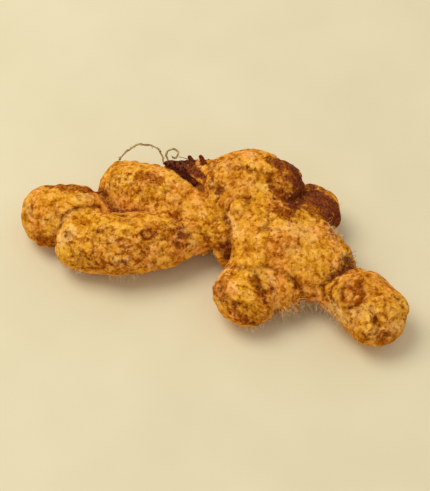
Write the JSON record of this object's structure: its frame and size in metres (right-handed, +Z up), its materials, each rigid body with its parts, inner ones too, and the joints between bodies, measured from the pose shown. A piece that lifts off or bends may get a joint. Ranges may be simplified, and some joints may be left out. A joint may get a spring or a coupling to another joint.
{
  "type": "ginger root",
  "caption": "Whole fresh ginger rhizome with plump branching fingers, leaf-scar rings, a dried shoot stump and wiry rootlets, lying flat.",
  "frame": {"origin": "centre of the bounding box, on the surface that the root lies on", "axes": "+X along the root's length, from the long left fingers to the thumb-like finger at the right; +Y to its back, the side of the raised crown finger; +Z up from the surface it lies on"},
  "size_m": [0.1708, 0.0964, 0.0392],
  "materials": {
    "ginger_skin": "matt papery skin, golden brown, mottled and freckled"
  },
  "bodies": {
    "root": {"ginger_root": "ginger_skin"}
  },
  "joints": []
}
